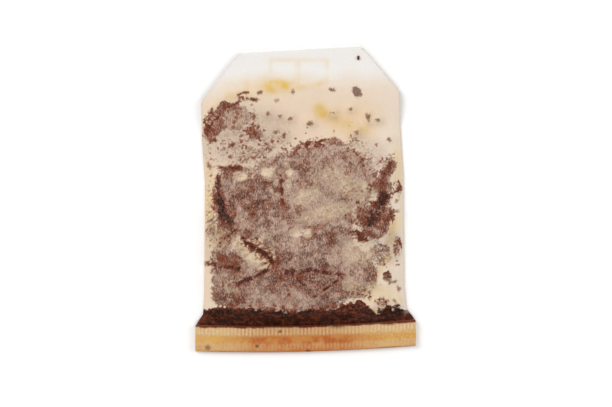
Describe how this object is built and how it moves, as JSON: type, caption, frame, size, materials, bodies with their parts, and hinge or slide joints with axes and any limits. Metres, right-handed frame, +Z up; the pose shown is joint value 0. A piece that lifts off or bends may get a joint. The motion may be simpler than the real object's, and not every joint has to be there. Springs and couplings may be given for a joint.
{
  "type": "used tea bag",
  "caption": "Flat used tea bag, a folded filter-paper tube with cut-off top corners and a crimped hem, holding wet tea leaf.",
  "frame": {"origin": "middle of the bag's outline, on the surface that it lies on", "axes": "+Z up out of the bag's front; +Y from the crimped hem to the folded top; +X to the right, seen from above with the folded top away from the viewer"},
  "size_m": [0.0442, 0.0614, 0.0057],
  "materials": {
    "filter_paper": "wet, tea-stained, half see-through where it clings to the leaf",
    "wet_leaf": "wet brewed leaf",
    "leaf_stalk": "wet brewed stalk"
  },
  "bodies": {
    "root": {"bottom_corner_leaf_clump": "wet_leaf", "bottom_leaf_bank": "wet_leaf", "filter_paper_bag": "filter_paper", "leaf_crumb_on_paper": "wet_leaf", "leaf_stalk_lower": "leaf_stalk", "leaf_stalk_upper": "leaf_stalk", "loose_leaf_scrap_01": "wet_leaf", "loose_leaf_scrap_02": "wet_leaf", "loose_leaf_scrap_03": "wet_leaf", "loose_leaf_scrap_04": "wet_leaf", "loose_leaf_scrap_05": "wet_leaf", "loose_leaf_scrap_06": "wet_leaf", "loose_leaf_scrap_07": "wet_leaf", "loose_leaf_scrap_08": "wet_leaf", "loose_leaf_scrap_09": "wet_leaf", "loose_leaf_scrap_10": "wet_leaf", "loose_leaf_scrap_11": "wet_leaf", "loose_leaf_scrap_12": "wet_leaf", "loose_leaf_scrap_13": "wet_leaf", "loose_leaf_scrap_14": "wet_leaf", "loose_leaf_scrap_15": "wet_leaf", "loose_leaf_scrap_16": "wet_leaf", "loose_leaf_scrap_17": "wet_leaf", "loose_leaf_scrap_18": "wet_leaf", "loose_leaf_scrap_19": "wet_leaf", "loose_leaf_scrap_20": "wet_leaf", "loose_leaf_scrap_21": "wet_leaf", "loose_leaf_scrap_22": "wet_leaf", "loose_leaf_scrap_23": "wet_leaf", "loose_leaf_scrap_24": "wet_leaf", "loose_leaf_scrap_25": "wet_leaf", "loose_leaf_scrap_26": "wet_leaf", "loose_leaf_scrap_27": "wet_leaf", "loose_leaf_scrap_28": "wet_leaf", "loose_leaf_scrap_29": "wet_leaf", "loose_leaf_scrap_30": "wet_leaf", "lower_right_leaf_clump": "wet_leaf", "main_leaf_mass": "wet_leaf", "right_edge_lower_leaf_clump": "wet_leaf", "right_edge_upper_leaf_clump": "wet_leaf", "right_lower_leaf_clump": "wet_leaf", "right_upper_leaf_clump": "wet_leaf", "upper_left_leaf_clump": "wet_leaf", "upper_middle_leaf_clump": "wet_leaf"}
  },
  "joints": []
}
